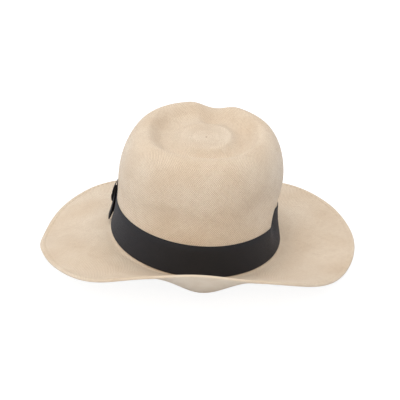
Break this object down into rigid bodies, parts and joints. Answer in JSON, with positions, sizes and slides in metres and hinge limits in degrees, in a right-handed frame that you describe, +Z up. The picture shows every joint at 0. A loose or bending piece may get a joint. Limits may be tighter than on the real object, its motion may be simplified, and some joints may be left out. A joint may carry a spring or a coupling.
{
  "type": "straw hat",
  "caption": "Woven straw hat with a creased crown, a wide brim turned up at the back, and a dark ribbon band with a flat side bow.",
  "frame": {"origin": "centre of the head opening, at the level where crown and brim meet", "axes": "+Z up through the crown, +Y towards the hat's front, +X towards the wearer's right"},
  "size_m": [0.3161, 0.3367, 0.1299],
  "materials": {
    "straw": "fine hand-woven plaited straw, matt with a slight sheen",
    "straw_thread": "natural cotton thread",
    "grosgrain": "black ribbed ribbon, low sheen",
    "black_thread": "black cotton thread",
    "sweat_leather": "smooth tan hat leather",
    "reed": "thin round reed, matt",
    "tape": "woven cotton tape",
    "tiny_ribbon": "narrow satin ribbon",
    "label": "plain woven tag with nothing on it"
  },
  "bodies": {
    "hat": {"straw_body": "straw", "brim_edge_stitches": "straw_thread", "ribbon_band": "grosgrain", "ribbon_band_tacks": "black_thread", "bow_loops": "grosgrain", "bow_knot": "grosgrain", "bow_tacks": "black_thread", "sweatband": "sweat_leather", "sweatband_reed": "reed", "sweatband_stitches": "straw_thread", "sweatband_tape": "tape", "sweatband_bow": "tiny_ribbon", "size_label": "label"},
    "bow_tail": {"bow_tail": "grosgrain"}
  },
  "joints": [
    {"name": "bow_tail_lift", "type": "hinge", "parent": "hat", "child": "bow_tail", "pos_m": [-0.08356, 0.02111, 0.03081], "axis": [-0.1839, 0.0246, -0.9826], "range_deg": [0, 35]}
  ]
}
